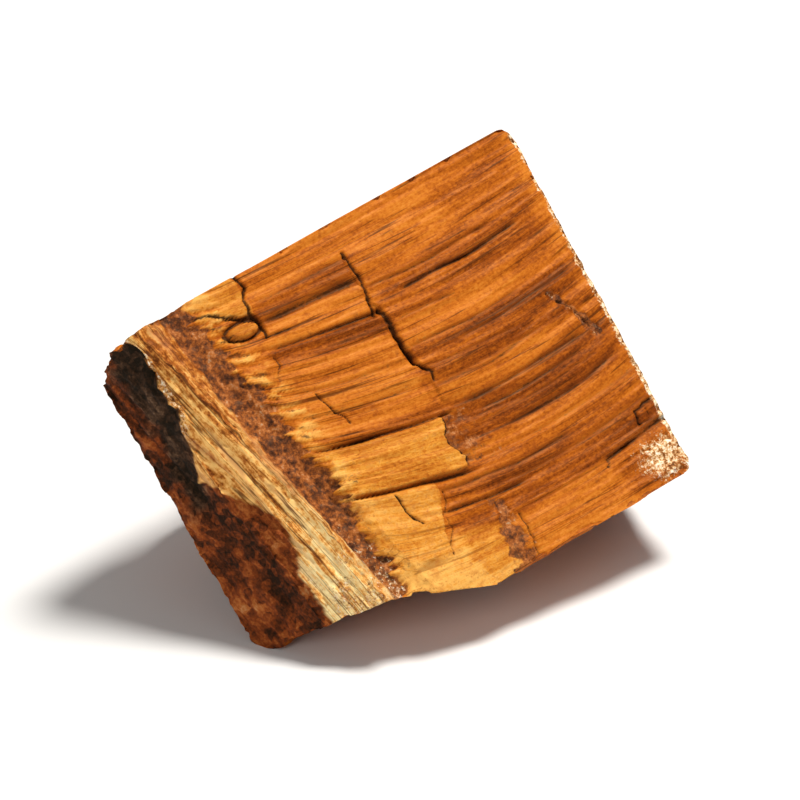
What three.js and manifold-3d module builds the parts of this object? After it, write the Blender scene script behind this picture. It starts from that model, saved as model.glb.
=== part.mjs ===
// A lump of rough tiger's eye, about 55 mm long: fibrous golden-brown quartz, split out of its vein.
//
// Every face of a rough stone is a break. So the stone is worked as it was in the quarry: a block is
// split along its cleavages one after another, weathered along one edge, turned to the way it lies,
// and left with a flat break underneath to rest on. Millimetres, +Z up, and the origin is on the
// resting plane under the middle of the stone.

import * as THREE from "three";
import * as BufferGeometryUtils from "three/addons/utils/BufferGeometryUtils.js";
import Module from "manifold-3d";

// Block frame: x runs along the fibres, y up the broad split face, z out of it, and its origin is
// the lower right corner of that face.
const BLOCK_SIZE = 140;

// How the block lies, in degrees: the compass turn of its fibres from +X, how far they climb to the
// right, and how steeply the split face slopes. The corner height is in millimetres.
const FIBRE_AZIMUTH = 39.3;
const FIBRE_RISE = 8.5;
const FACE_SLOPE = 44.2;
const CORNER_HEIGHT = 9.3;

// Each cleavage: the way it faces in the block frame, and how far it is from the frame's origin.
// The fibres run from one vein wall to the other, so faces that hold the x direction are long
// fibrous splits, and those across it are vein walls or cross breaks.
const CLEAVAGES = [
  { name: "split face", facing: [0, 0, 1], distance: 0 },
  { name: "right vein wall", facing: [1, -0.08, 0.05], distance: 0.5 },
  { name: "top split", facing: [0, 1, -0.12], distance: 36.1 },
  { name: "back split", facing: [0.05, 0.78, -0.62], distance: 33.7 },
  { name: "back left shoulder", facing: [-0.12, 0.92, -0.38], distance: 39.1 },
  { name: "back right cross break", facing: [0.75, 0.5, -0.43], distance: 21.6 },
  { name: "under split", facing: [0, -0.97, -0.23], distance: 0.2 },
  { name: "left laminated bevel", facing: [-0.63, -0.13, 0.77], distance: 20.9 },
  { name: "left vein wall", facing: [-0.93, -0.12, 0.34], distance: 34.4 },
  { name: "left overhang", facing: [-0.78, 0.06, -0.63], distance: 40.1 },
  { name: "top left corner", facing: [-0.52, 0.84, 0.17], distance: 51.7 },
];

// A slab has split away from the back along the fibres, between the left end and a cross break.
const BACK_LEDGE = { facing: [0, 0.78, -0.62], distance: 33.2, from: -60, to: -24 };

// A weathered groove follows the inside of the ridge at the left end of the split face.
const GROOVE_TOP = [-38.1, 36.5];
const GROOVE_FOOT = [-31.5, 4.4];
const GROOVE_RADIUS = 3.6;
const GROOVE_DEPTH = 0.5;
const GROOVE_OVERRUN = 8;
const GROOVE_SIDES = 32;

// A spall is missing under the left end of the split face. Its roof is two flats that meet in a
// line running back and down under the stone: across, up; angles in degrees.
const SPALL_APEX = [-27.6, -1.8];
const SPALL_LEFT_FALL = 25;
const SPALL_RIGHT_RISE = 5;
const SPALL_BACK_FALL = 25;
const SPALL_REACH = 30;
const SPALL_FRONT = -45;

const stoneMaterial = new THREE.MeshStandardMaterial({
  name: "fibrous_tigers_eye",
  color: 0xa8621f,
  roughness: 0.5,
  metalness: 0,
});

const wasm = await Module();
wasm.setup();

function toSolid(geometry) {
  const bare = geometry.clone();
  bare.deleteAttribute("normal");
  bare.deleteAttribute("uv");
  const merged = BufferGeometryUtils.mergeVertices(bare);
  const mesh = new wasm.Mesh({
    numProp: 3,
    vertProperties: new Float32Array(merged.attributes.position.array),
    triVerts: new Uint32Array(merged.index.array),
  });
  return new wasm.Manifold(mesh);
}

function toGeometry(solid) {
  const mesh = solid.getMesh();
  const geometry = new THREE.BufferGeometry();
  geometry.setAttribute("position", new THREE.BufferAttribute(mesh.vertProperties, 3));
  geometry.setIndex(new THREE.BufferAttribute(mesh.triVerts, 1));
  return geometry;
}

// The waste on the far side of a break: a box whose lower face lies on the break. Its width runs
// along the fibres where the break holds their direction.
function wasteBeyond(facing, distance, from = -BLOCK_SIZE, to = BLOCK_SIZE) {
  const waste = new THREE.BoxGeometry(to - from, 2 * BLOCK_SIZE, BLOCK_SIZE);
  const outward = new THREE.Vector3(...facing).normalize();
  const upward = outward.clone().cross(new THREE.Vector3(1, 0, 0)).normalize();
  const along = upward.clone().cross(outward);
  const place = new THREE.Matrix4().makeBasis(along, upward, outward);
  place.setPosition(outward.multiplyScalar(distance));
  waste.translate((from + to) / 2, 0, BLOCK_SIZE / 2);
  waste.applyMatrix4(place);
  return toSolid(waste);
}

function grooveCutter() {
  const top = new THREE.Vector2(...GROOVE_TOP);
  const foot = new THREE.Vector2(...GROOVE_FOOT);
  const length = top.distanceTo(foot) + 2 * GROOVE_OVERRUN;
  const groove = new THREE.CylinderGeometry(GROOVE_RADIUS, GROOVE_RADIUS, length, GROOVE_SIDES);
  const middle = top.clone().add(foot).multiplyScalar(0.5);
  const lean = top.clone().sub(foot).angle() - Math.PI / 2;
  groove.rotateZ(lean);
  groove.translate(middle.x, middle.y, GROOVE_RADIUS - GROOVE_DEPTH);
  return toSolid(groove);
}

function spallCutter() {
  const [across, up] = SPALL_APEX;
  const leftFall = THREE.MathUtils.degToRad(SPALL_LEFT_FALL);
  const rightRise = THREE.MathUtils.degToRad(SPALL_RIGHT_RISE);
  const left = across - SPALL_REACH * Math.cos(leftFall);
  const right = across + SPALL_REACH * Math.cos(rightRise);
  const roof = new THREE.Shape();
  roof.moveTo(across, up);
  roof.lineTo(left, up - SPALL_REACH * Math.sin(leftFall));
  roof.lineTo(left, up - 2 * SPALL_REACH);
  roof.lineTo(right, up - 2 * SPALL_REACH);
  roof.lineTo(right, up + SPALL_REACH * Math.sin(rightRise));
  roof.closePath();
  const depth = 2 * Math.abs(SPALL_FRONT);
  const spall = new THREE.ExtrudeGeometry(roof, { depth, bevelEnabled: false });
  spall.translate(0, 0, -depth - SPALL_FRONT);
  spall.rotateX(Math.PI / 2 - THREE.MathUtils.degToRad(SPALL_BACK_FALL));
  return toSolid(spall);
}

function splitBlock() {
  const block = new THREE.BoxGeometry(BLOCK_SIZE, BLOCK_SIZE, BLOCK_SIZE);
  let stone = toSolid(block);
  for (const { facing, distance } of CLEAVAGES) {
    stone = stone.subtract(wasteBeyond(facing, distance));
  }
  const { facing, distance, from, to } = BACK_LEDGE;
  stone = stone.subtract(wasteBeyond(facing, distance, from, to));
  return stone.subtract(grooveCutter());
}

function layDown(solid) {
  const lie = new THREE.Euler(
    THREE.MathUtils.degToRad(FACE_SLOPE),
    THREE.MathUtils.degToRad(-FIBRE_RISE),
    THREE.MathUtils.degToRad(FIBRE_AZIMUTH),
    "ZYX",
  );
  const geometry = toGeometry(solid);
  geometry.applyMatrix4(new THREE.Matrix4().makeRotationFromEuler(lie));
  geometry.translate(0, 0, CORNER_HEIGHT);
  return toSolid(geometry);
}

function restingBreak() {
  const ground = new THREE.BoxGeometry(2 * BLOCK_SIZE, 2 * BLOCK_SIZE, BLOCK_SIZE);
  ground.translate(0, 0, -BLOCK_SIZE / 2);
  return toSolid(ground);
}

function roughTigersEye() {
  const solid = layDown(splitBlock()).subtract(spallCutter()).subtract(restingBreak());
  const geometry = toGeometry(solid);
  geometry.computeBoundingBox();
  const middle = geometry.boundingBox.getCenter(new THREE.Vector3());
  geometry.translate(-middle.x, -middle.y, 0);
  const mesh = new THREE.Mesh(geometry, stoneMaterial);
  mesh.name = "rough_tigers_eye";
  return mesh;
}

const tigersEye = new THREE.Group();
tigersEye.name = "rough_tigers_eye_lump";
tigersEye.add(roughTigersEye());

export default tigersEye;
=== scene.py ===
"""A lump of rough tiger's eye: fibrous golden-brown quartz, split out of its vein."""

import math

import bmesh
import bpy
import numpy as np
from mathutils import Matrix, Vector


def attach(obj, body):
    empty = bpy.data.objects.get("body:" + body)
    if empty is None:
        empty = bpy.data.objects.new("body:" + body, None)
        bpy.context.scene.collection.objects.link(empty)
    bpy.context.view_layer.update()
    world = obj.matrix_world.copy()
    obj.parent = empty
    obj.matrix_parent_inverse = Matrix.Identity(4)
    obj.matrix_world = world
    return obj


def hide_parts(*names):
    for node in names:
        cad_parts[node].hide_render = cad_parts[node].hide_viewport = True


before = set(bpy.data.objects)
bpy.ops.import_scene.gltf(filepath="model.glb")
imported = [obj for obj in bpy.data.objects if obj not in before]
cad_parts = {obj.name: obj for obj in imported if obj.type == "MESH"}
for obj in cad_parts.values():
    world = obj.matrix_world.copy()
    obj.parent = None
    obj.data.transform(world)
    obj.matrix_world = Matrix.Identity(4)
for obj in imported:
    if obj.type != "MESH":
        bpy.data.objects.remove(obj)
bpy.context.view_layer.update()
bpy.ops.object.select_all(action="DESELECT")


# ---- The block ----
# The stone is one block of parallel quartz fibres. It lies on a flat break, with its fibres
# climbing a little to the right and its broad split face sloping up and away.

MM = 0.001
FIBRE_AZIMUTH = math.radians(39.3)
FIBRE_RISE = math.radians(8.5)
FACE_SLOPE = math.radians(44.2)

cad_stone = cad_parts["rough_tigers_eye"]
face_corner = max((v.co for v in cad_stone.data.vertices), key=lambda co: co.x)
lie = (
    Matrix.Translation(face_corner)
    @ Matrix.Rotation(FIBRE_AZIMUTH, 4, "Z")
    @ Matrix.Rotation(-FIBRE_RISE, 4, "Y")
    @ Matrix.Rotation(FACE_SLOPE, 4, "X")
    @ Matrix.Scale(MM, 4)
)

bpy.ops.mesh.primitive_cube_add(size=1)
stone = bpy.context.object
stone.name = "tigers_eye_stone"
stone.data = cad_stone.data.copy()
stone.data.name = "tigers_eye_stone"
stone.data.materials.clear()
stone.data.transform(lie.inverted())
bpy.ops.object.mode_set(mode="EDIT")
bpy.ops.mesh.select_all(action="SELECT")
bpy.ops.mesh.remove_doubles(threshold=0.001)
bpy.ops.mesh.dissolve_limited(angle_limit=math.radians(0.5))
bpy.ops.mesh.normals_make_consistent(inside=False)
bpy.ops.object.mode_set(mode="OBJECT")


# ---- Its breaks ----
# Faces that hold the fibre direction are long splintery splits. Those across it are vein walls
# with an iron crust, or cross breaks. In the block x runs along the fibres and y up the face.

DOWN = -(lie.to_3x3().inverted() @ Vector((0, 0, 1))).normalized()
BREAKS = {
    "split": (0, 0, 1),
    "right": (1, -0.08, 0.05),
    "top": (0, 1, -0.12),
    "back": (0.05, 0.78, -0.62),
    "shoulder": (-0.12, 0.92, -0.38),
    "back_right": (0.75, 0.5, -0.43),
    "under": (0, -0.97, -0.23),
    "bevel": (-0.63, -0.13, 0.77),
    "left": (-0.93, -0.12, 0.34),
    "overhang": (-0.78, 0.06, -0.63),
    "corner": (-0.52, 0.84, 0.17),
    "riser": (-1, 0, 0),
    "base": tuple(DOWN),
}
NAMES = list(BREAKS)
FACING = np.array([Vector(facing).normalized() for facing in BREAKS.values()])

# how the ridge and the layers of the bevel run, and the way up the back
RIDGE_RUN = (0.2, -0.98, 0)
ACROSS_BEVEL = tuple(Vector(RIDGE_RUN).cross(Vector(BREAKS["bevel"])).normalized())
UP_BACK = (0, 0.62, 0.78)

# the two ways each break is gridded, and how finely, in millimetres
ALONG_FIBRES = (1, 0, 0)
GRIDS = {
    "corner": (((0, 0, 1), 0.25), (ALONG_FIBRES, 0.25)),
    "riser": (((0, 1, 0), 0.25), ((0, 0, 1), 0.25)),
    "shoulder": (((0, 0.4, 0.92), 0.22), (ALONG_FIBRES, 0.4)),
    "back_right": ((UP_BACK, 0.3), ((0, 0.78, -0.62), 0.3)),
    "bevel": ((ACROSS_BEVEL, 0.15), (RIDGE_RUN, 0.3)),
    "left": (((0, 0, 1), 0.25), ((0, 1, 0), 0.25)),
    "overhang": (((0, 0, 1), 0.25), ((0, 1, 0), 0.3)),
    "under": (((0, 0, 1), 0.3), (ALONG_FIBRES, 0.5)),
    "top": (((0, 0, 1), 0.2), (ALONG_FIBRES, 0.4)),
    "back": ((UP_BACK, 0.22), (ALONG_FIBRES, 0.45)),
    "right": (((0, 1, 0), 0.28), ((0, 0, 1), 0.28)),
    "split": ((ALONG_FIBRES, 0.3), ((0, 1, 0), 0.15)),
}
# where the cross cracks and the notch are, the cuts across the fibres are closer
CRACKED = {
    "split": ((-31.2, -27), (-26.6, -23.4), (-21.2, -18), (-2.8, -0.2)),
    "back": ((-31.4, -29.8), (-14.4, -12.8), (-8.6, -7.2)),
}
CLOSER_STEP = 0.45
SNAP = 0.002


def grid_break(bm, number, way, step, closer=()):
    """Cuts one break's faces by parallel planes a step apart, or less in the closer parts."""
    way = Vector(way).normalized()
    step = step
    layer = bm.faces.layers.int["break"]
    left = [f for f in bm.faces if f[layer] == number]
    reach = [v.co.dot(way) for f in left for v in f.verts]
    place = min(reach) + step
    while place < max(reach) - 0.3 * step and left:
        geometry = set(left)
        for face in left:
            geometry.update(face.edges)
            geometry.update(face.verts)
        cut = bmesh.ops.bisect_plane(
            bm, geom=list(geometry), dist=SNAP, plane_co=way * place, plane_no=way
        )
        faces = [g for g in cut["geom"] if isinstance(g, bmesh.types.BMFace)]
        left = [f for f in faces if f.calc_center_median().dot(way) > place]
        place += CLOSER_STEP * step if any(low < place < high for low, high in closer) else step


# each facet belongs to the break it faces with; the few that match none belong to the split
# face or, if they don't look up, to the under side
SAME_WAY = 0.99
bm = bmesh.new()
bm.from_mesh(stone.data)
layer = bm.faces.layers.int.new("break")
for face in bm.faces:
    match = FACING @ np.array(face.normal)
    face[layer] = int(np.argmax(match))
    if match.max() < SAME_WAY:
        face[layer] = NAMES.index("split" if face.normal.z > 0.8 else "under")
for name, ways in GRIDS.items():
    for way, step in ways:
        closer = CRACKED.get(name, ()) if way == ALONG_FIBRES else ()
        grid_break(bm, NAMES.index(name), way, step, closer)
bm.to_mesh(stone.data)
bm.free()


# ---- Its grain ----
# Fibres start square to the vein walls and sag in the middle of the vein. The label of a fibre
# is its height up the split face where it sags lowest. All relief and colour follow the labels.

SAG_MIDDLE = -9.9
SAG_HEIGHTS = [0, 4.6, 11.4, 16.5, 28, 35]
SAG_CURVES = [0.001, 0.0036, 0.0085, 0.0073, 0.0057, 0.001]
LEFT_DROOP_FROM = -31.5

count = len(stone.data.vertices)
block = np.empty(count * 3, np.float32)
stone.data.vertices.foreach_get("co", block)
block = block.reshape(-1, 3).astype(float)
x, y, z = block.T
fibre = y - np.interp(y, SAG_HEIGHTS, SAG_CURVES) * (x - SAG_MIDDLE) ** 2
fibre -= 0.045 * np.clip(LEFT_DROOP_FROM - x, 0, 9) ** 2

face_break = np.empty(len(stone.data.polygons), np.int32)
stone.data.attributes["break"].data.foreach_get("value", face_break)
loop_counts = np.empty(len(stone.data.polygons), np.int32)
stone.data.polygons.foreach_get("loop_total", loop_counts)
loop_vertices = np.empty(len(stone.data.loops), np.int32)
stone.data.loops.foreach_get("vertex_index", loop_vertices)
on_break = np.zeros((count, len(NAMES)), bool)
on_break[loop_vertices, np.repeat(face_break, loop_counts)] = True

height = {name: np.zeros(count) for name in NAMES}
mask = {name: np.zeros(count) for name in ("dark", "gold", "pale", "crust", "pit", "specks_and_glint")}


def touches(name):
    """Which points lie on this break, its edges with them."""
    return on_break[:, NAMES.index(name)]


def level(name):
    """How far out each point lies along the way this break faces."""
    return block @ FACING[NAMES.index(name)]


def strengthen(name, values):
    """Keeps the stronger of the mask so far and these values."""
    mask[name] = np.maximum(mask[name], values)


def scatter(cells, seed):
    """A number from 0 to 1 for each row of whole numbers."""
    mixed = np.full(len(cells), seed * 2654435761 % 4294967296, np.int64)
    for column, prime in zip(cells.T, (73856093, 19349663, 83492791)):
        mixed = (mixed ^ (column.astype(np.int64) * prime)) & 0xFFFFFFFF
        mixed = ((mixed ^ (mixed >> 15)) * 2246822519) & 0xFFFFFFFF
    mixed = ((mixed ^ (mixed >> 13)) * 3266489917) & 0xFFFFFFFF
    return (mixed ^ (mixed >> 16)) / 4294967295.0


def noise(columns, seed, octaves=1):
    """Smooth noise from about -1 to 1, each octave half the size and strength of the last."""
    points = np.stack(np.broadcast_arrays(*columns), axis=1).astype(float)
    total = np.zeros(len(points))
    for octave in range(octaves):
        cell = np.floor(points)
        part = points - cell
        fade = part * part * (3 - 2 * part)
        for corner in np.ndindex(*(2,) * points.shape[1]):
            weight = np.prod(np.where(corner, fade, 1 - fade), axis=1)
            value = scatter(cell + corner, seed + 17 * octave)
            total += weight * (2 * value - 1) / 2**octave
        points = 2 * points + 5.3
    return total


def rise(low, high, value):
    """0 below low, 1 above high, smooth between."""
    part = np.clip((value - low) / (high - low), 0, 1)
    return part * part * (3 - 2 * part)


def splinters(along, across, width, length, seed):
    """Heights from -1 to 1 of flat splinters side by side, each snapped off nearly square."""
    across = across / width + 0.7 * noise((along / 40, across / width / 2.5), seed, 2)
    row = np.floor(across)
    shift = 9 * scatter(row[:, None], seed + 1)
    piece = np.floor(along / length + shift + 0.06 * noise((across * 4, along / 3), seed + 2))
    return 2 * scatter(np.stack([row, piece], axis=1), seed + 3) - 1


def near_line(points, u, w):
    """Distance from each place (u, w) to a broken line."""
    nearest = np.full(len(u), 1e9)
    for (u0, w0), (u1, w1) in zip(points, points[1:]):
        run, climb = u1 - u0, w1 - w0
        part = ((u - u0) * run + (w - w0) * climb) / (run * run + climb * climb)
        part = np.clip(part, 0, 1)
        nearest = np.minimum(nearest, np.hypot(u - u0 - part * run, w - w0 - part * climb))
    return nearest


# ---- The split face ----
# A fresh split along the fibres, so it is silky and honey brown, in ribs and shallow steps.
# Slabs of fibre have snapped off at cross cracks and left the face at several levels.

# grooves with painted shade in them: from, to, fibre, half width, depth, darkness
FURROWS = [
    (-32.5, -18.6, 15.2, 0.17, 0.42, 1.0),
    (-18, -2.5, 15.8, 0.2, 0.24, 0.75),
    (-33, -19.5, 9.6, 0.16, 0.32, 0.9),
    (-7.4, 0.5, 4.9, 0.15, 0.42, 1.0),
    (-18.4, -7.4, 4.7, 0.11, 0.14, 0.5),
    (-30, -19.4, 30.5, 0.34, 0.36, 0.9),
    (-29.6, -19.3, 32.7, 0.16, 0.16, 0.65),
    (-30.5, -19.2, 26.8, 0.15, 0.34, 0.95),
    (-30.5, -27.4, 28.3, 0.11, 0.22, 0.85),
    (-15.8, -2, 27.8, 0.15, 0.32, 0.95),
    (-19, -4.5, 29.3, 0.14, 0.15, 0.6),
    (-18.2, -11.5, 25.1, 0.11, 0.12, 0.6),
    (-18.8, -5.5, 22.4, 0.13, 0.14, 0.6),
    (-13.4, 0.5, 21.4, 0.13, 0.15, 0.7),
    (-18.4, -8, 19.9, 0.12, 0.1, 0.5),
    (-18.6, -6, 18.2, 0.16, 0.12, 0.6),
    (-15.4, -3.4, 14.6, 0.12, 0.14, 0.75),
    (-17, -2, 13.4, 0.1, 0.08, 0.5),
    (-13.6, -0.8, 12.2, 0.17, 0.15, 0.75),
    (-24.6, -15.5, 6.9, 0.12, 0.2, 0.85),
    (-23.6, -9, 8.7, 0.15, 0.14, 0.65),
    (-18, 1, 10.1, 0.13, 0.08, 0.45),
    (-17, 0.5, 7.4, 0.13, 0.1, 0.5),
    (-31.5, -21, 21.6, 0.12, 0.12, 0.5),
    (-31.5, -20.5, 18.8, 0.13, 0.12, 0.5),
    (-28, -20, 24.6, 0.1, 0.1, 0.45),
]
# cross cracks: lines of x, y on the face, half width, depth; the painted shade in them is full from
# DARK_DEPTH down
CRACKS = [
    ([(-19.2, 33.6), (-19.1, 30.4), (-19.6, 28), (-19.9, 27)], 0.13, 0.35),
    ([(-19.2, 27.2), (-19, 25.6), (-19.2, 23.4), (-19, 21.4)], 0.23, 0.55),
    ([(-19, 21.4), (-18.1, 20), (-18.3, 19.2)], 0.13, 0.35),
    ([(-30, 36.6), (-29.6, 35.2), (-30.4, 34.2), (-30.6, 32.7), (-30.1, 31.7), (-30.4, 30.2)], 0.14, 0.4),
    ([(-35.8, 34.9), (-34.2, 34.4), (-32, 33), (-30.4, 32.4)], 0.15, 0.4),
    ([(-31, 28.2), (-30.8, 27.4), (-31.5, 26.6), (-31.6, 26)], 0.1, 0.25),
    ([(-29.3, 23.4), (-28.8, 21.6), (-27.7, 19.6)], 0.1, 0.25),
    ([(-28.1, 11.8), (-27.9, 9.7), (-27.2, 8.2)], 0.1, 0.3),
    ([(-23.7, 9.9), (-23.9, 8.8), (-24.8, 8.1), (-24.7, 6.5), (-25.9, 5.3), (-26.2, 4.4)], 0.09, 0.2),
    ([(-18.1, 4.7), (-18.2, 2.6), (-18.6, 0.2)], 0.1, 0.22),
    ([(-2.2, 6), (-1.9, 7.3), (0.2, 7.6)], 0.14, 0.4),
    ([(-0.7, 7), (-0.9, 6), (-2.1, 5.9)], 0.08, 0.2),
    ([(-3.3, 20.9), (-1.9, 18.6), (-1, 16.2)], 0.09, 0.2),
    ([(-6.9, 4.8), (-7.4, 4)], 0.1, 0.25),
]
DARK_DEPTH = 0.3
# soft patches of lighter or darker fibre: from, to, lower and upper fibre, how much
PATCHES = [
    (-18.8, -8, 30.6, 37, 0.25),
    (-7, 2, 23, 36, -0.1),
    (-30, -19.2, 33, 37, 0.15),
    (-30, -19.2, 30.9, 32.6, -0.25),
    (-30.5, -19.2, 27.2, 29.8, 0.4),
    (-31, -19.2, 24.8, 26.6, -0.45),
    (-32, -19.2, 16.5, 24.4, 0.42),
    (-18.8, -5, 22.8, 25, 0.35),
    (-18.8, 0, 18.4, 22.2, -0.3),
    (-18.8, -4, 16.4, 17.6, 0.35),
    (-19.5, 0, 11.6, 15.4, -0.4),
    (-22, 0, 9.9, 11.6, 0.25),
    (-19, 1.5, 5.2, 8.6, -0.25),
    (-19, -7, 0, 4.6, 0.4),
    (-33.5, -24.2, -2, 9.4, 0.4),
    (-33.5, -20, -3, 3.6, 0.35),
    (-24, -19.5, 1, 5.6, -0.3),
]

split = touches("split")
jag = 0.16 * noise((fibre / 0.35, x / 4), 31, 2)
relief = 0.16 * noise((x / 20, fibre / 5, z / 5), 1, 2)
relief += 0.05 * noise((x / 16, fibre / 1.1, z / 1.1), 2, 2)
relief += 0.15 * abs(noise((x / 18, fibre / 0.9, z / 0.9), 8, 2)) - 0.06
relief += 0.06 * noise((x / 9, fibre / 0.42, z / 0.42), 3, 2)
relief += 0.08 * splinters(x, fibre, 1.5, 9, 4) * rise(-0.1, 0.4, noise((x / 9, fibre / 5), 5))
relief += 0.05 * splinters(x, fibre, 0.55, 4, 6) * rise(-0.2, 0.5, noise((x / 6, fibre / 3), 7))

tone = np.zeros(count)
ragged_x = x + 0.8 * noise((fibre / 0.4, x / 6), 41, 2)
ragged_fibre = fibre + 0.35 * noise((x / 3, fibre / 2), 42, 2)
for start, end, lower, upper, amount in PATCHES:
    patch = rise(start - 0.5, start + 0.5, ragged_x) * rise(end + 0.7, end - 0.7, ragged_x)
    patch *= rise(lower - 0.3, lower + 0.3, ragged_fibre) * rise(upper + 0.3, upper - 0.3, ragged_fibre)
    tone += amount * patch

# the raised golden slab, and the lower ground past its broken end
slab_end = np.interp(fibre, [10, 10.9, 12, 13.4, 14.2, 15.2], [-20.1, -19.7, -20.4, -20.7, -20.2, -19.6])
slab_end += 0.7 * jag + 0.2 * noise((fibre / 1.3,), 40, 2)
gold_slab = rise(9.75, 9.9, fibre) * rise(15.25, 15.1, fibre) * rise(0.06, -0.06, x - slab_end)
gold_slab *= rise(-34.5, -32.5, x)
low_ground = rise(9.9, 10.3, fibre) * rise(15.5, 15.3, fibre) * rise(-0.06, 0.06, x - slab_end)
low_ground *= rise(-4, -16, x)
relief += 0.38 * gold_slab - 0.26 * low_ground
relief += 0.12 * low_ground * noise((x / 1.2, y / 0.8), 43, 3) * rise(-14, -18, x)
# a dark line along the slab's broken end, partly a crack and partly painted shadow
slab_edge = rise(9.9, 10.1, fibre) * rise(15.2, 15, fibre) * rise(0.34, 0.12, abs(x - slab_end - 0.12))

# the right side of the main crack stands proud of the left
crack_x = np.interp(y, [17, 20, 23, 27, 29, 34], [-18.6, -18.3, -19.1, -19.2, -19.4, -19.2])
proud = rise(-0.08, 0.08, x - crack_x - jag) * rise(-6, -17, x) * rise(16.2, 17, fibre)
relief += 0.24 * proud * rise(34, 33, y)

# the sandy block and the small lens in the top left corner, and the slab at the lower left
corner_piece = rise(-30.1, -30.4, x + jag) * rise(-0.1, 0.1, y - 32.3 + 0.47 * (x + 30.4))
corner_piece *= rise(-36, -34.6, x)
relief += 0.22 * corner_piece
lens_gap = np.hypot((x + 32.1) / 1.55, (y - 31.75 + 0.12 * (x + 32.1)) / 0.72)
lens = rise(1.1, 0.85, lens_gap)
relief += 0.4 * lens - 0.3 * rise(1.6, 1.25, lens_gap) * (1 - lens)
# painted shade in the groove round the lens
mask["dark"] = 0.85 * rise(0.95, 1.1, lens_gap) * rise(1.5, 1.25, lens_gap) * split
sawn_end = np.interp(y, [5.5, 6.7, 8.5, 9.9, 11], [-26, -25.6, -24.7, -24, -23.8])
low_slab = rise(0.05, -0.05, x - sawn_end - 0.5 * jag) * rise(9.5, 9.3, fibre)
relief += 0.2 * low_slab

for start, end, label, width, depth, darkness in FURROWS:
    wander = 0.2 * noise((x / 7,), int(label * 10) + 40, 2)
    off = fibre - label - wander
    across = np.exp(-((off / (1.25 * width)) ** 2))
    # beside each groove lies a wider, softer band of painted shadow
    shade = 0.45 * np.exp(-(((off - 1.2 * width) / (2.6 * width)) ** 2))
    run = rise(start - 0.8, start + 0.8, x) * rise(end + 1.2, end - 1.2, x)
    patchy = np.clip(0.9 + 0.3 * noise((x / 2.5, fibre), int(label * 10) + 70), 0, 1)
    relief -= depth * across * run * patchy
    strengthen("dark", darkness * np.maximum(across, shade) * run * patchy)

crumble_u = x + 0.1 * noise((x / 0.7, y / 0.7), 33, 2)
crumble_w = y + 0.1 * noise((x / 0.7, y / 0.7), 34, 2)
for line, width, depth in CRACKS:
    gap = near_line(line, crumble_u, crumble_w)
    relief -= depth * np.exp(-((gap / width) ** 2))
    gap /= 1.15 * width
    # painted shade inside each crack, the deeper ones darker
    strengthen("dark", min(1, depth / DARK_DEPTH) * np.exp(-(gap**2)))
# the dark line at the slab's end: partly crack, partly painted shadow
strengthen("dark", 0.9 * slab_edge)
mask["dark"] *= rise(-2.2, -0.6, z)

# frayed fibre ends beside the worn, pitted strip that follows the ridge
RIDGE_TOP = np.array([-40.7, 36.5, 0])
RIDGE_SLANT = 0.204
ridge_x = RIDGE_TOP[0] + RIDGE_SLANT * (RIDGE_TOP[1] - y)
strip_edge = np.interp(y, [5, 11, 17, 23, 29, 36], [-32, -32.2, -32.7, -33.6, -34.6, -35.8])
strip_edge += 0.7 * noise((y / 1.2, fibre / 0.5), 35, 3)
frayed = rise(strip_edge - 0.5, strip_edge + 0.4, x) * rise(3.6, 1.2, x - strip_edge)
frayed *= 0.35 + 0.65 * rise(10, 14, y)
fray = 0.6 * splinters(x, fibre, 0.55, 2.6, 44) + 0.5 * noise((x / 1.5, fibre / 0.4), 48, 2)
relief += 0.2 * frayed * fray
tone += frayed * (0.4 + 0.65 * fray)
# painted shade in the gaps between the frayed fibre ends
fray_gaps = rise(0.35, 0.8, noise((x / 1.8, fibre / 0.5), 45, 2)) * frayed
strengthen("dark", 0.6 * fray_gaps)
worn = rise(0.35, -0.35, x - strip_edge)
along_ridge = noise((y / 4, (x - ridge_x) / 0.4), 46, 3)
pitted = noise((x / 0.7, y / 0.7), 36, 3)
relief = relief * (1 - 0.7 * worn) + worn * (0.1 * pitted + 0.14 * along_ridge - 0.28)
strengthen("pit", worn * split)
strengthen("pit", 0.45 * low_ground * rise(-15, -18.5, ragged_x))

# a crumbled spot near the lower edge, a chipped scar by the right wall, and sugary quartz
uneven = 0.5 * noise((x / 0.8, y / 0.8), 50, 3)
spot = near_line([(-19.3, 5.8), (-19.5, 3.4), (-20.1, 0.2)], x, y)
crumbled = rise(1.5, 0.2, spot + 1.3 * uneven - 0.06 * (6 - y)) * split
relief += crumbled * (0.06 * noise((x / 0.8, y / 0.8), 37, 2) - 0.18)
strengthen("pit", 0.8 * crumbled)
scar = near_line([(-3.1, 20.9), (-1.8, 18.6), (-0.9, 15.8)], x, y)
scar = rise(0.65, 0.05, scar + 0.8 * uneven)
relief += scar * (0.25 * noise((x / 0.4, y / 0.4), 47, 3) - 0.12)
strengthen("pit", 0.75 * scar * split)
corner_gap = np.hypot((x + 1.6) / 3.4, (y - 2.4) / 2.3)
sugary = rise(1.7, 0.2, corner_gap + 0.2 * noise((x / 0.8, y / 0.8), 38, 3))
relief += sugary * 0.1 * noise((x / 0.3, y / 0.3), 39, 2)

# the pale rims along the right wall; painted light at the upper right end of the face and along its lower
# left edge; lighter along its top edge at the left
right_gap = 0.5 - level("right")
rim = rise(0.3 * rise(26, 18, y) + 1.05, 0.6, right_gap + 0.25 * noise((y / 1.1, x / 1.1), 48, 3))
rim *= 0.25 * rise(28, 21, y) + 0.65
mask["specks_and_glint"] = np.maximum(0.6 * sugary, rim) * split
strengthen("specks_and_glint", 0.25 * scar * split)
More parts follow.
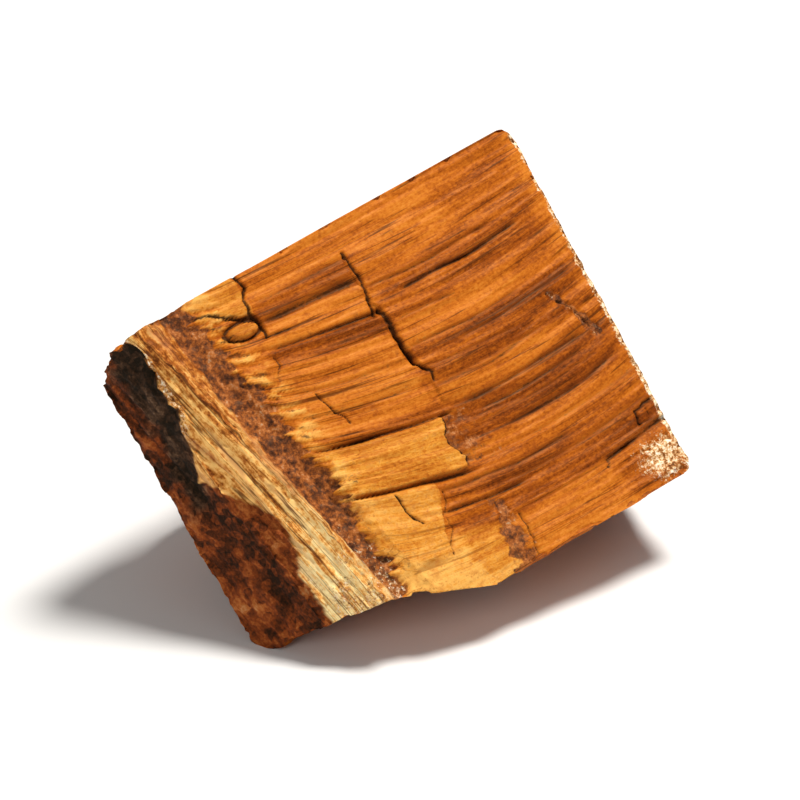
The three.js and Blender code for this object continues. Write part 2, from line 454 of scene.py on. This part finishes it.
# painted light on the upper right end of the face
sunlit_end = rise(3.4, 0.6, right_gap + 0.6 * noise((fibre / 0.4, x / 3), 49, 2)) * rise(22, 25, y)
tone += 0.6 * sunlit_end
relief -= 0.3 * rise(0.9, 0.0, right_gap)
# a painted highlight along the lower left edge, where the face curves down
under_gap = 0.2 - level("under")
tone += 0.35 * rise(1.4, 0.2, under_gap) * rise(-17, -22, x)
tone += 0.25 * rise(35.2, 36.2, y) * rise(-14, -22, x)

height["split"] = relief
mask["gold"] = np.maximum(gold_slab, 0.7 * corner_piece)
strengthen("gold", 0.6 * lens)
strengthen("gold", 0.85 * low_slab * rise(10, 9, fibre))
strengthen("gold", 0.85 * rise(-19, -21, ragged_x) * rise(5.2, 4, ragged_fibre))
strengthen("gold", 0.8 * frayed * rise(-0.2, 0.5, fray))
mask["gold"] *= split * (1 - worn)


# ---- The ridge and the laminated bevel ----
# At the left end the vein's outer layer is left standing as a ridge. Thin pale layers run along
# it and step down outside it like a worn stack of cards, palest at the foot.

down_ridge = (block - RIDGE_TOP) @ np.array(Vector(RIDGE_RUN).normalized())
off_ridge = (block - RIDGE_TOP) @ np.array(ACROSS_BEVEL)

wavy = off_ridge + 0.14 * noise((down_ridge / 5, off_ridge / 2), 51, 2)
steps = splinters(down_ridge, wavy, 0.7, 9, 52)
leaves = splinters(down_ridge, wavy, 0.3, 3.2, 55)
relief = 0.17 * steps + 0.08 * leaves
relief += 0.12 * noise((down_ridge / 6, wavy / 0.5), 58, 2)
relief += 0.12 * noise((down_ridge / 0.9, off_ridge / 0.6), 59, 3)
relief -= 0.5 * np.sin(np.pi * np.clip(down_ridge / 34, 0, 1))
height["bevel"] = relief

pale_edge = np.interp(
    down_ridge,
    [0, 6, 11, 13.8, 15.1, 18.5, 20.3, 23.5, 26.2, 31],
    [2, 2.5, 3.8, 5.9, 4.6, 3.7, 2.7, 3.1, 4.5, 5.2],
)
pale_edge += 0.4 * noise((down_ridge / 1.3, off_ridge / 1.3), 61, 3)
outside = touches("bevel") | touches("left") | touches("corner")
mask["pale"] = rise(0.2, -0.2, off_ridge - pale_edge) * outside

# over the ridge the layers show again on the split face, more so towards the top
inner_edge = ridge_x + np.interp(y, [5, 14.5, 26, 36.5], [0.15, 0.4, 1.1, 2.3])
inner_edge += 0.35 * noise((y / 2.5, x / 0.8), 62, 3)
inner = rise(0.25, -0.25, x - inner_edge) * split
height["split"] += inner * (0.1 * steps + 0.06 * leaves + 0.2)
strengthen("pale", 0.72 * inner)
mask["pit"] *= 1 - inner
# white specks at the foot of the pale layers, partly sugary quartz and partly painted highlight
foot = rise(21, 34, down_ridge + 4 * noise((x / 1.5, y / 1.5, z / 1.5), 63, 3))
strengthen("specks_and_glint", 0.4 * foot * mask["pale"])
# a painted highlight along the outer edge of the pale layers
edge_highlight = rise(0.55, 0.15, abs(pale_edge - off_ridge - 0.3)) * rise(14, 8, down_ridge) * outside
strengthen("specks_and_glint", 0.5 * edge_highlight)
strengthen("specks_and_glint", 0.35 * foot * worn * mask["pit"])


# ---- The vein walls ----
# Both ends of the fibres stop at the wall of the vein. The left one is weathered grey brown above
# and stained dark red below. The right one keeps a rough crust of black and rusty iron ore.

def crusty(u, w, seed):
    """Lumps, plates and pits of an iron crust."""
    u = u + 0.8 * noise((u / 2.5, w / 2.5), seed + 4, 2)
    lumps = noise((u / 5, w / 5), seed, 2) * 0.3 - abs(noise((u / 1.6, w / 1.3), seed + 1, 3)) * 0.3
    plates = np.floor(2.6 * noise((u / 3.4, w / 2.1), seed + 2, 3))
    return lumps + 0.14 * plates + 0.08 * noise((u / 0.5, w / 0.5), seed + 3, 2) + 0.15


height["left"] = 0.55 * crusty(y, z, 71) + 0.12 * noise((down_ridge / 7, wavy / 0.6), 75, 3)
height["left"] -= 0.3 * rise(-0.2, 0.3, off_ridge - pale_edge) * rise(9, 7, off_ridge)
height["overhang"] = 0.7 * crusty(y, z, 81)
height["corner"] = 0.5 * crusty(x, z, 84)
height["right"] = 0.7 * crusty(y, z, 91) * rise(0.5, -3, z) + 0.2 * crusty(y, z, 93)
height["back_right"] = 0.9 * crusty(y, z - x, 95)
mask["pit"][touches("back_right")] = 0.8
height["riser"] = 0.4 * crusty(y, z, 98)
for name in ("bevel", "left", "overhang", "corner", "right"):
    mask["crust"][touches(name)] = 1
mask["crust"] *= 1 - mask["pale"]
mask["crust"] *= ~split
mask["rust"] = rise(11, 17, down_ridge + 4 * noise((x / 3, y / 3, z / 3), 77, 3))
outer_gap = 40.1 - level("overhang")
strengthen("rust", rise(2, 0.8, outer_gap + noise((y / 1.5, z / 1.5), 79, 2)))
right_wall = touches("right") | touches("back_right")
mask["rust"][right_wall] = rise(-0.6, 0.1, noise((x / 4, y / 5, z / 5), 76, 4))[right_wall]
wall_rim = touches("right") * rise(-0.9, -0.3, z + 0.3 * noise((y / 0.9, z / 0.9), 78, 3))
strengthen("specks_and_glint", 0.7 * wall_rim * rise(27, 22, y))


# ---- The hidden splits ----
# The top, back and under faces are older splits along the same fibres, coarser and darker than
# the front, with long splinters missing.

def coarse_split(along, across, seed):
    """Waves, ribs and two sizes of missing splinters."""
    across = across + 0.5 * noise((along / 12, across / 5), seed + 9, 2)
    relief = 0.3 * noise((along / 14, across / 4), seed, 2)
    relief += 0.22 * noise((along / 8, across / 0.9), seed + 1, 3)
    relief += 0.34 * splinters(along, across, 3.2, 13, seed + 2)
    return relief + 0.2 * splinters(along, across, 1.1, 6, seed + 5)


height["top"] = 0.6 * coarse_split(x, z, 101) * rise(0, -2.5, z)
height["shoulder"] = coarse_split(x, z, 111)
up_back = UP_BACK[1] * y + UP_BACK[2] * z
height["back"] = 1.3 * coarse_split(x, up_back, 121) + 0.35 * splinters(x, up_back, 6.2, 17, 125)
height["under"] = 0.8 * coarse_split(x, z, 131)
tone -= 0.3 * ~split

# short cross cracks in the back: lines of x and of the height up the back
BACK_CRACKS = [
    [(-13.2, 12), (-13.5, 9.2), (-13.1, 6.4), (-14, 3.8), (-13.4, 1.5)],
    [(-7.6, -1.5), (-8.2, -4.6), (-7.5, -7.2)],
    [(-31, 8.4), (-30.4, 6.4), (-30.7, 4.2)],
]
BACK_CRACK_WIDTH = 0.15
for line in BACK_CRACKS:
    gap = near_line(line, crumble_u, up_back) / BACK_CRACK_WIDTH
    open_part = np.exp(-(gap**2)) * rise(-0.5, 0.5, noise((x / 2, up_back / 1.4), 139, 2))
    height["back"] -= 0.45 * open_part
    # painted shade in the open parts of the cracks
    strengthen("dark", 0.6 * open_part * touches("back"))

# dark stains and rust in patches, and painted light on the raised splinters with painted shade in the low
# ones
stains = rise(0.0, 0.35, noise((x / 9, (y - z) / 3), 137, 5))
for name in ("top", "shoulder", "back", "under"):
    on = touches(name) & ~split
    tone[on] += 0.7 * height[name][on]
    mask["crust"][on] = np.maximum(mask["crust"][on], 0.8 * stains[on])
    mask["rust"][on] = np.maximum(mask["rust"][on], 0.75)


# ---- Moving the surface ----
# Each break's surface moves in or out along the way it faces. Where breaks meet, the edge goes
# where both surfaces now are, and the sharpest edges are a little worn. The base stays flat.

FAR_OFF = 1e9
outermost = {}
for name in NAMES:
    on = touches(name)
    outermost[name] = np.max(level(name)[on]) if on.any() else FAR_OFF

edge_gap = np.full(count, FAR_OFF)
for name in NAMES:
    if name in ("riser", "base", "back_right"):
        continue
    gap = outermost[name] - level(name)
    gap[touches(name)] = FAR_OFF
    edge_gap = np.minimum(edge_gap, np.maximum(gap, 0))
chips = rise(0.1, 0.9, noise((x / 1.1, y / 1.1, z / 1.1), 141, 3))
wear = rise(0.7, 0.0, edge_gap) * (0.05 + 0.28 * chips)
for name in NAMES:
    height[name] = height[name] - wear

# where breaks meet, the move that suits all their heights best; YIELD keeps it from running off
YIELD = 0.12
shift = np.zeros((count, 3))
patterns, which = np.unique(on_break, axis=0, return_inverse=True)
which = which.ravel()
for number, pattern in enumerate(patterns):
    rows = np.flatnonzero(which == number)
    used = [n for n in np.flatnonzero(pattern) if NAMES[n] != "base"]
    if not used:
        continue
    facings = FACING[used]
    heights = np.stack([height[NAMES[n]][rows] for n in used], axis=1)
    solve = facings.T @ np.linalg.inv(facings @ facings.T + YIELD * np.eye(len(used)))
    moved = heights @ solve.T * (1 + YIELD / len(used))
    if pattern[NAMES.index("base")]:
        down = FACING[NAMES.index("base")]
        moved -= np.outer(moved @ down, down)
    shift[rows] = moved

# sideways moves at the edges spread a little way into each break, so that nothing folds over
SPREADS = 40
ends = np.empty(2 * len(stone.data.edges), np.int32)
stone.data.edges.foreach_get("vertices", ends)
first, second = ends.reshape(-1, 2).T
neighbours = np.bincount(ends, minlength=count)[:, None]


def mean_around(moves):
    """For each point, the mean of a vector over the points it shares an edge with."""
    sums = [
        np.bincount(first, moves[second, axis], count) + np.bincount(second, moves[first, axis], count)
        for axis in range(3)
    ]
    return np.stack(sums, axis=1) / neighbours


inside = on_break.sum(axis=1) == 1
out = FACING[np.argmax(on_break, axis=1)]
outward = np.sum(shift * out, axis=1, keepdims=True) * out
for _ in range(SPREADS):
    around = mean_around(shift)
    around -= np.sum(around * out, axis=1, keepdims=True) * out
    shift[inside] = (around + outward)[inside]

# the corners at both ends of the right edge are knocked round, to about these radii
KNOCKED = {"top": 1.5, "under": 1.1}
moved_block = block + shift
for other, radius in KNOCKED.items():
    radius = radius + 0.25 * noise((z / 1.2, x / 2, y / 2), 145, 2)
    ways = FACING[[NAMES.index("right"), NAMES.index(other)]]
    levels = np.array([outermost["right"], outermost[other]])
    over = np.maximum(radius[:, None] - (levels - moved_block @ ways.T), 0)
    far = np.hypot(*over.T)
    beyond = (over.min(axis=1) > 0) * np.maximum(1 - radius / np.maximum(far, 1e-6), 0)
    moved_block -= (over * beyond[:, None]) @ ways

# the faces that still turned over are smoothed out, all but a few tiny ones
SMOOTHINGS = 15
NEARLY_EDGE_ON = 0.1
polygon_normals = np.empty(3 * len(stone.data.polygons), np.float32)
for _ in range(SMOOTHINGS):
    stone.data.vertices.foreach_set("co", moved_block.astype(np.float32).ravel())
    stone.data.update()
    stone.data.polygons.foreach_get("normal", polygon_normals)
    folded = np.sum(polygon_normals.reshape(-1, 3) * FACING[face_break], axis=1) < NEARLY_EDGE_ON
    caught = np.zeros(count, bool)
    caught[loop_vertices[np.repeat(folded, loop_counts)]] = True
    caught &= ~touches("base")
    moved_block[caught] = 0.4 * moved_block[caught] + 0.6 * mean_around(moved_block)[caught]
stone.data.vertices.foreach_set("co", moved_block.astype(np.float32).ravel())

# what the material reads at each point
grain = stone.data.attributes.new("grain", "FLOAT_VECTOR", "POINT")
grain.data.foreach_set("vector", np.stack([x, fibre, z], axis=1).astype(np.float32).ravel())
layers = stone.data.attributes.new("layers", "FLOAT_VECTOR", "POINT")
layered = np.stack([down_ridge, off_ridge, z], axis=1)
layers.data.foreach_set("vector", layered.astype(np.float32).ravel())
raised = np.zeros(count)
for name in ("left", "overhang", "corner", "right", "back_right", "riser"):
    on = touches(name)
    raised[on] = height[name][on]
mask["raised"] = 0.5 + 0.7 * raised
mask["tone"] = 0.5 + 0.5 * tone
for name, values in mask.items():
    attribute = stone.data.attributes.new(name, "FLOAT", "POINT")
    attribute.data.foreach_set("value", np.clip(values, 0, 1).astype(np.float32))

# back to where the stone lies, with nothing under the floor
stone.data.transform(lie)
for vertex in stone.data.vertices:
    vertex.co.z = max(vertex.co.z, 0)
stone.data.update()
bpy.ops.object.select_all(action="DESELECT")
stone.select_set(True)
bpy.context.view_layer.objects.active = stone
bpy.ops.object.shade_smooth_by_angle(angle=math.radians(50))


# ---- The stone's material ----
# Silky quartz coloured by iron: honey and red-brown along the fibres, straw where the layers are
# worn, and black, grey and rust in the crust.

tiger = bpy.data.materials.new("fibrous_tigers_eye")
tiger.use_nodes = True
tree = tiger.node_tree
tree.nodes.clear()


def add(kind, inputs=(), **settings):
    """A node with its settings and inputs, which are values or other nodes' outputs."""
    new = tree.nodes.new(kind)
    for key, value in settings.items():
        setattr(new, key, value)
    for key, value in dict(inputs).items():
        if isinstance(value, bpy.types.NodeSocket):
            tree.links.new(value, new.inputs[key])
        else:
            new.inputs[key].default_value = value
    return new


def attribute_vector(name, scale):
    """A direction-following place on the stone, scaled along each of its ways."""
    source = add("ShaderNodeAttribute", attribute_name=name)
    inputs = {"Vector": source.outputs["Vector"], "Scale": scale}
    return add("ShaderNodeMapping", inputs).outputs["Vector"]


def attribute_value(name):
    """One of the masks."""
    return add("ShaderNodeAttribute", attribute_name=name).outputs["Fac"]


def speckle(vector, detail, roughness=0.55, distortion=0.0):
    """Soft noise around 0.5."""
    inputs = {
        "Vector": vector,
        "Scale": 1.0,
        "Detail": detail,
        "Roughness": roughness,
        "Distortion": distortion,
    }
    return add("ShaderNodeTexNoise", inputs).outputs["Fac"]


def band(value, low, high, to_low=0.0, to_high=1.0):
    """A smooth change from one value to another between low and high."""
    inputs = {
        "Value": value,
        "From Min": low,
        "From Max": high,
        "To Min": to_low,
        "To Max": to_high,
    }
    return add("ShaderNodeMapRange", inputs, interpolation_type="SMOOTHSTEP").outputs["Result"]


def maths(operation, first, second):
    """Two numbers put together."""
    return add("ShaderNodeMath", {0: first, 1: second}, operation=operation).outputs["Value"]


def from_middle(value):
    """How far a value that runs around 0.5 is above it."""
    return maths("SUBTRACT", value, 0.5)


def weighed(*parts):
    """The sum of values, each times its weight."""
    total = maths("MULTIPLY", *parts[0])
    for value, weight in parts[1:]:
        total = maths("ADD", total, maths("MULTIPLY", value, weight))
    return total


def thin_lines(value, core, edge, strength):
    """Lines where a soft noise crosses its middle."""
    return band(maths("ABSOLUTE", from_middle(value), 0), core, edge, strength, 0)


def blend(factor, first, second):
    """The first colour turning into the second as the factor grows."""
    inputs = {0: factor, 6: first, 7: second}
    return add("ShaderNodeMix", inputs, data_type="RGBA").outputs[2]


def ramp(value, stops):
    """A colour for each value, smooth between the stops."""
    new = add("ShaderNodeValToRGB", {"Fac": value})
    elements = new.color_ramp.elements
    while len(elements) < len(stops):
        elements.new(0.5)
    for element, (position, color) in zip(elements, stops):
        element.position = position
        element.color = (*color, 1)
    return new.outputs["Color"]


object_place = add("ShaderNodeTexCoord").outputs["Object"]


def lump_vector(size):
    """Places for lumps of about this size in millimetres, the same in all directions."""
    inputs = {"Vector": object_place, "Scale": (1 / (size * MM),) * 3}
    return add("ShaderNodeMapping", inputs).outputs["Vector"]


# the fibres: broad bands, streaks and hairs, all drawn out along them
# the tone mask brings the patches of lighter and darker fibre, and the painted light and shade of the
# face edges and hidden splinters
tone_shift = from_middle(attribute_value("tone"))
broad = speckle(attribute_vector("grain", (0.03, 0.2, 0.2)), 2)
bands = speckle(attribute_vector("grain", (0.08, 0.9, 0.9)), 3, 0.6, 0.4)
streaks = speckle(attribute_vector("grain", (0.28, 2.4, 2.4)), 3, 0.65, 0.5)
hairs = speckle(attribute_vector("grain", (1.8, 6, 6)), 2, 0.6)
mottle = speckle(lump_vector(0.9), 3, 0.6)
dust = speckle(lump_vector(0.35), 3, 0.7)
fibre_parts = ((broad, 0.14), (bands, 0.24), (streaks, 0.2), (hairs, 0.18), (dust, 0.24))
mixed = weighed(*fibre_parts, (tone_shift, 0.3))
fibres = ramp(
    mixed,
    [
        (0.34, (0.075, 0.014, 0.002)),
        (0.41, (0.190, 0.037, 0.003)),
        (0.47, (0.320, 0.070, 0.005)),
        (0.53, (0.450, 0.112, 0.008)),
        (0.60, (0.570, 0.168, 0.016)),
        (0.72, (0.690, 0.262, 0.040)),
    ],
)

# dark lines between the fibres, short ones and long ones
fine_lines = thin_lines(streaks, 0.0, 0.03, 1)
fine_lines = maths("MULTIPLY", fine_lines, band(mixed, 0.42, 0.56, 0.5, 0.0))
fibres = blend(fine_lines, fibres, (0.095, 0.020, 0.003, 1))
long_lines = speckle(attribute_vector("grain", (0.035, 1.9, 1.9)), 1, 0.5, 0.0)
long_lines = thin_lines(long_lines, 0.004, 0.026, 0.8)
long_lines = maths("MULTIPLY", long_lines, band(bands, 0.56, 0.44))
fibres = blend(long_lines, fibres, (0.075, 0.017, 0.002, 1))
fibres = blend(band(mottle, 0.56, 0.70, 0, 0.45), fibres, (0.250, 0.050, 0.006, 1))

# the golden slabs have the same fibres in paler colours
golden = ramp(
    mixed,
    [
        (0.39, (0.230, 0.050, 0.004)),
        (0.47, (0.500, 0.145, 0.011)),
        (0.54, (0.690, 0.280, 0.034)),
        (0.64, (0.840, 0.450, 0.105)),
    ],
)
golden = blend(maths("MULTIPLY", fine_lines, 0.7), golden, (0.200, 0.050, 0.006, 1))
golden = blend(maths("MULTIPLY", long_lines, 0.6), golden, (0.160, 0.040, 0.005, 1))
golden = blend(band(mottle, 0.40, 0.72, 0, 0.5), golden, (0.460, 0.130, 0.014, 1))
golden = blend(band(dust, 0.52, 0.66, 0, 0.5), golden, (0.360, 0.090, 0.012, 1))
color = blend(attribute_value("gold"), fibres, golden)

# the worn strip: red-brown with dark and grey pits
pits = weighed((speckle(lump_vector(1.1), 5, 0.7), 0.65), (dust, 0.35))
worn_color = ramp(
    pits,
    [
        (0.38, (0.022, 0.011, 0.009)),
        (0.46, (0.105, 0.036, 0.017)),
        (0.52, (0.260, 0.072, 0.017)),
        (0.58, (0.430, 0.142, 0.036)),
        (0.65, (0.440, 0.270, 0.150)),
    ],
)
grainy = weighed((from_middle(mottle), 1.5), (from_middle(dust), 1))
color = blend(band(maths("ADD", attribute_value("pit"), grainy), 0.3, 0.7, 0, 0.93), color, worn_color)

# the crust: black and grey, or rust, with the raised lumps lighter
crystals = add("ShaderNodeTexVoronoi", {"Vector": lump_vector(0.7), "Scale": 1.0})
crystals = add("ShaderNodeSeparateXYZ", {"Vector": crystals.outputs["Color"]}).outputs["X"]
leaf_lines = speckle(attribute_vector("layers", (0.24, 1.9, 1.9)), 4, 0.7, 0.7)
lumps = weighed(
    (speckle(lump_vector(2.4), 6, 0.75), 0.5),
    (leaf_lines, 0.2),
    (dust, 0.2),
    (crystals, 0.1),
    (from_middle(attribute_value("raised")), 0.25),
)
grey_crust = ramp(
    lumps,
    [
        (0.38, (0.006, 0.004, 0.003)),
        (0.45, (0.030, 0.014, 0.008)),
        (0.51, (0.075, 0.038, 0.021)),
        (0.57, (0.170, 0.095, 0.052)),
        (0.64, (0.270, 0.210, 0.150)),
    ],
)
rusty_crust = ramp(
    lumps,
    [
        (0.36, (0.014, 0.005, 0.003)),
        (0.44, (0.080, 0.018, 0.006)),
        (0.51, (0.210, 0.042, 0.009)),
        (0.58, (0.360, 0.100, 0.022)),
        (0.67, (0.480, 0.220, 0.080)),
    ],
)
crust = blend(attribute_value("rust"), grey_crust, rusty_crust)
color = blend(attribute_value("crust"), color, crust)

# the pale layers, with dark lines between them, creamiest at the foot of the ridge
leaf_bands = speckle(attribute_vector("layers", (0.09, 0.8, 0.8)), 2, 0.6, 0.4)
specks = speckle(lump_vector(0.7), 4, 0.75)
place_down = add("ShaderNodeSeparateXYZ", {"Vector": attribute_vector("layers", (1, 1, 1))})
down = place_down.outputs["X"]
off = place_down.outputs["Y"]
leaf_value = weighed(
    (leaf_lines, 0.7),
    (specks, 0.5),
    (band(down, 8, 32, 0.05, 0.12), 1),
    (band(off, 0.1, 1.6, -0.07, 0.0), 1),
    (from_middle(leaf_bands), 0.4),
)
leaf_value = maths("SUBTRACT", leaf_value, 0.1)
leaf_value = maths("MINIMUM", leaf_value, band(down, 17, 31, 0.575, 0.68))
straw = ramp(
    leaf_value,
    [
        (0.38, (0.150, 0.038, 0.008)),
        (0.45, (0.430, 0.135, 0.022)),
        (0.51, (0.680, 0.290, 0.062)),
        (0.57, (0.880, 0.500, 0.150)),
        (0.66, (0.970, 0.760, 0.360)),
    ],
)
pinkish = maths("MULTIPLY", band(leaf_bands, 0.50, 0.62), band(down, 20, 31, 0.55, 0.1))
straw = blend(pinkish, straw, (0.450, 0.185, 0.078, 1))
layer_lines = speckle(attribute_vector("layers", (0.05, 1.7, 1.7)), 1, 0.5, 0.0)
layer_lines = thin_lines(layer_lines, 0.004, 0.03, 0.8)
straw = blend(layer_lines, straw, (0.110, 0.032, 0.010, 1))
color = blend(attribute_value("pale"), color, straw)

# sugary grains of broken quartz, thickest where the mask of specks and glints is strong; that mask also
# holds the painted highlights at the foot and edge of the pale layers
grains = speckle(lump_vector(0.3), 3, 0.75)
sugar = ramp(
    speckle(lump_vector(0.5), 4, 0.8),
    [
        (0.38, (0.090, 0.028, 0.010)),
        (0.47, (0.420, 0.160, 0.040)),
        (0.54, (0.820, 0.560, 0.290)),
        (0.64, (0.960, 0.900, 0.760)),
    ],
)
sprinkled = weighed((grains, 0.6), (attribute_value("specks_and_glint"), 0.5))
color = blend(band(sprinkled, 0.44, 0.58), color, sugar)

# painted shade inside the cracks, grooves and gaps, broken into streaks along the fibres
streaky = maths("MULTIPLY", maths("SUBTRACT", maths("ADD", hairs, dust), 1.0), 0.9)
darkness = band(maths("ADD", attribute_value("dark"), streaky), 0.15, 0.85, 0, 0.92)
color = blend(darkness, color, (0.022, 0.007, 0.003, 1))

# the finest relief: hairs and streaks on the fibres, grains on the crust, which is duller too
FINEST = 0.09 * MM
roughened = maths("MULTIPLY", maths("ADD", lumps, grains), attribute_value("crust"))
height_fine = weighed((hairs, 0.4), (streaks, 0.6), (roughened, 1.8))
bump = add(
    "ShaderNodeBump",
    {"Height": height_fine, "Strength": 0.6, "Distance": FINEST},
)
rough = band(streaks, 0.3, 0.7, 0.58, 0.42)
rough = maths("ADD", rough, maths("MULTIPLY", attribute_value("crust"), 0.1))
surface = add(
    "ShaderNodeBsdfPrincipled",
    {
        "Base Color": color,
        "Roughness": rough,
        "Normal": bump.outputs["Normal"],
        "Specular IOR Level": 0.11,
        "Specular Tint": (1.0, 0.66, 0.32, 1),
        "IOR": 1.54,
    },
)
add("ShaderNodeOutputMaterial", {"Surface": surface.outputs["BSDF"]})
stone.data.materials.append(tiger)

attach(stone, "root")
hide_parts("rough_tigers_eye")


# ---- The studio ----
# A plain pale floor, a large soft light from the upper right and front, a weaker one from the
# left, and pale surroundings.

bpy.ops.mesh.primitive_plane_add(size=6)
floor = bpy.context.object
floor.name = "floor"
floor_paint = bpy.data.materials.new("pale_floor")
floor_paint.use_nodes = True
paint = floor_paint.node_tree.nodes["Principled BSDF"]
paint.inputs["Base Color"].default_value = (0.80, 0.79, 0.77, 1)
paint.inputs["Roughness"].default_value = 0.7
floor.data.materials.append(floor_paint)

middle = Vector((0, 0, 0.015))


def soft_light(name, place, size, power, tint):
    """A round lamp that looks at the middle of the stone."""
    data = bpy.data.lights.new(name, "AREA")
    data.shape = "DISK"
    data.size = size
    data.energy = power
    data.color = tint
    light = bpy.data.objects.new(name, data)
    light.location = place
    light.rotation_euler = (middle - Vector(place)).to_track_quat("-Z", "Y").to_euler()
    bpy.context.scene.collection.objects.link(light)


soft_light("key", (0.14, 0.06, 0.52), 0.16, 3.8, (1.0, 0.98, 0.95))
soft_light("fill", (-0.30, -0.45, 0.25), 0.30, 0.9, (1.0, 0.98, 0.96))

world = bpy.data.worlds.new("pale_room")
world.use_nodes = True
background = world.node_tree.nodes["Background"]
background.inputs["Color"].default_value = (1, 1, 1, 1)
background.inputs["Strength"].default_value = 0.22
bpy.context.scene.world = world
bpy.context.scene.view_settings.view_transform = "Standard"

camera_data = bpy.data.cameras.new("camera")
camera_data.lens = 300
camera = bpy.data.objects.new("camera", camera_data)
bpy.context.scene.collection.objects.link(camera)
VIEW_RISE = math.radians(30)
VIEW_DISTANCE = 0.62
aim = Vector((0, 0, 0.0145))
camera.location = aim + VIEW_DISTANCE * Vector((0, -math.cos(VIEW_RISE), math.sin(VIEW_RISE)))
camera.rotation_euler = (aim - camera.location).to_track_quat("-Z", "Y").to_euler()
bpy.context.scene.camera = camera
